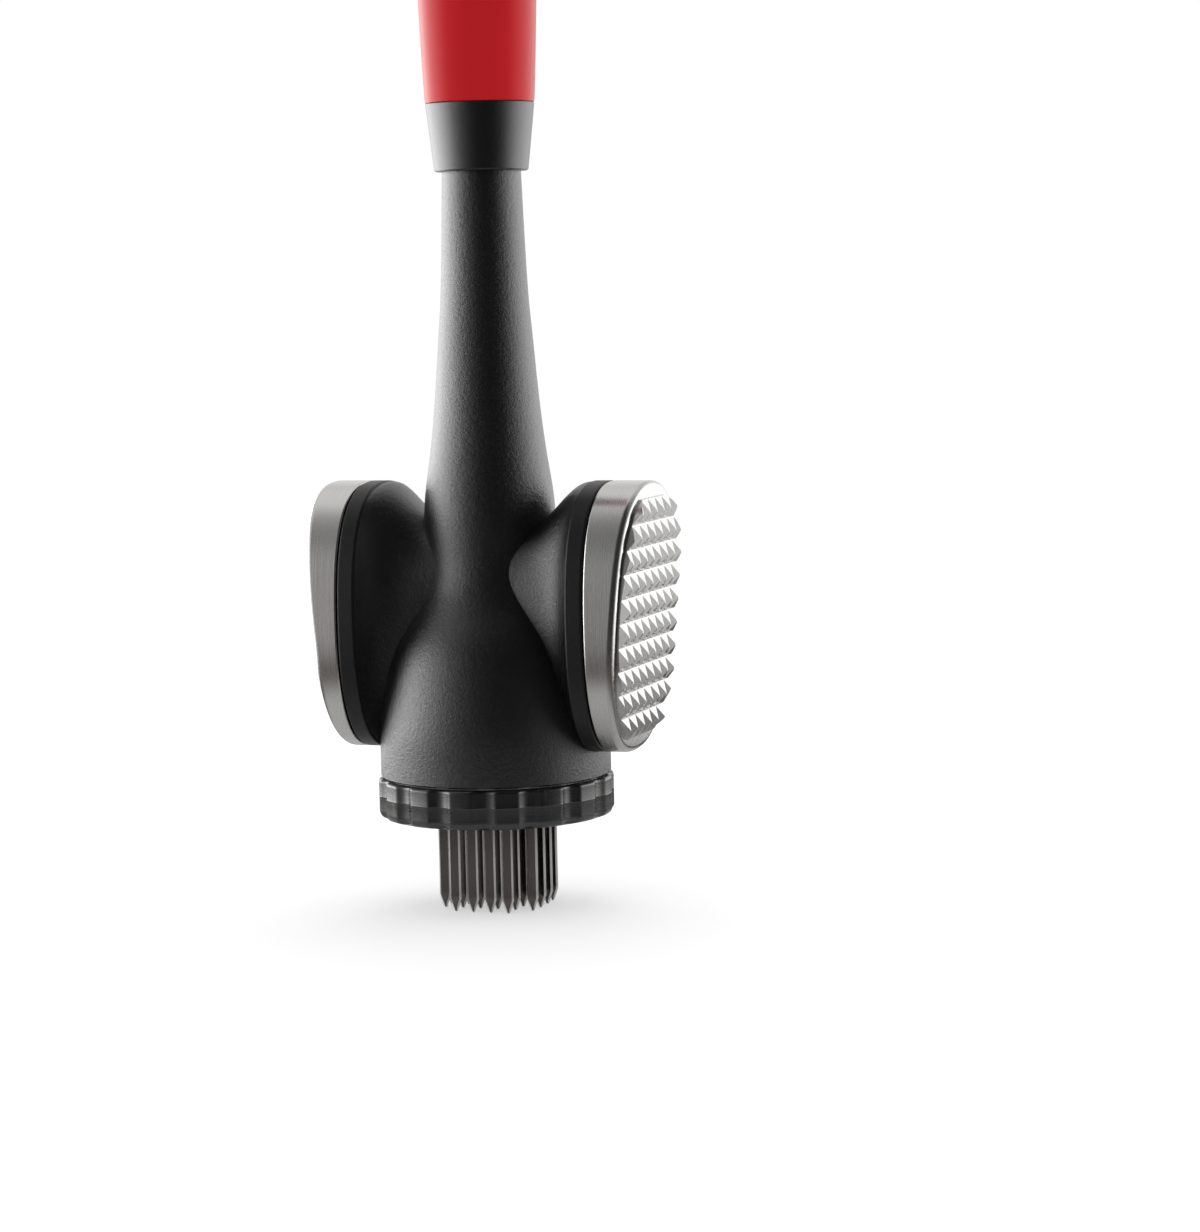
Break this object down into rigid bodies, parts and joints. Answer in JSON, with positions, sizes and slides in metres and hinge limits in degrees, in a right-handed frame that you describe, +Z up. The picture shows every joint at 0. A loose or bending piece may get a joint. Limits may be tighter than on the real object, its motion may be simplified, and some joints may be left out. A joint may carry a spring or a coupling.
{
  "type": "blade meat tenderizer",
  "caption": "Hand-held meat tenderizer with a straight handle, a smooth and a toothed striking face, and a twist ring that draws a set of flat blades into the bell-shaped body.",
  "frame": {"origin": "centre of the plane of the blade tips, on the tool's long axis, with the blades out", "axes": "+Z up along the handle, away from the blade tips; +X towards the toothed striking face; -X towards the smooth one"},
  "size_m": [0.0823, 0.0558, 0.307],
  "materials": {
    "black_body": "die-cast aluminium with a fine-grained satin black coat",
    "black_moulded": "satin black glass-filled nylon, faint mould line",
    "black_collar": "fine-grained black moulding",
    "red_grip": "gloss dark red",
    "brushed_steel": "circumferentially brushed stainless steel",
    "blade_steel": "ground stainless steel",
    "machined_aluminium": "turned",
    "plain_steel": "turned",
    "insert_brass": "turned",
    "glide_plastic": "low-friction, off-white",
    "nylon_core": "as moulded"
  },
  "bodies": {
    "tool_body": {"body_shell": "black_body", "collar": "black_collar", "handle_grip": "red_grip", "handle_core": "nylon_core", "end_cap": "black_collar", "tie_rod": "plain_steel", "tie_washer": "plain_steel", "tie_nut": "plain_steel", "smooth_backing": "black_body", "toothed_backing": "black_body", "smooth_face": "brushed_steel", "toothed_face": "brushed_steel", "smooth_face_core": "nylon_core", "toothed_face_core": "nylon_core", "smooth_face_studs": "plain_steel", "toothed_face_studs": "plain_steel", "guide_post": "plain_steel", "post_insert": "insert_brass", "guard_plate": "black_moulded", "guard_screw": "plain_steel", "glide_washer": "glide_plastic"},
    "ring": {"twist_ring": "black_moulded", "cam_sleeve": "machined_aluminium", "ring_screws": "plain_steel"},
    "blade_carriage": {"blade_carrier": "machined_aluminium", "blade_clamp": "machined_aluminium", "clamp_screws": "plain_steel", "cam_pins": "plain_steel", "blade_row_1": "blade_steel", "blade_row_2": "blade_steel", "blade_row_3": "blade_steel", "blade_row_4": "blade_steel", "blade_row_5": "blade_steel", "blade_row_6": "blade_steel"}
  },
  "joints": [
    {"name": "ring_turn", "type": "hinge", "parent": "tool_body", "child": "ring", "pos_m": [0, 0, 0.0266], "axis": [0, 0, -1], "range_deg": [0, 120]},
    {"name": "blade_slide", "type": "slide", "parent": "tool_body", "child": "blade_carriage", "axis": [0, 0, 1], "range_m": [0, 0.024]}
  ],
  "couplings": [
    {"joint": "blade_slide", "follows": "ring_turn", "m_per_rad": 0.011459}
  ]
}
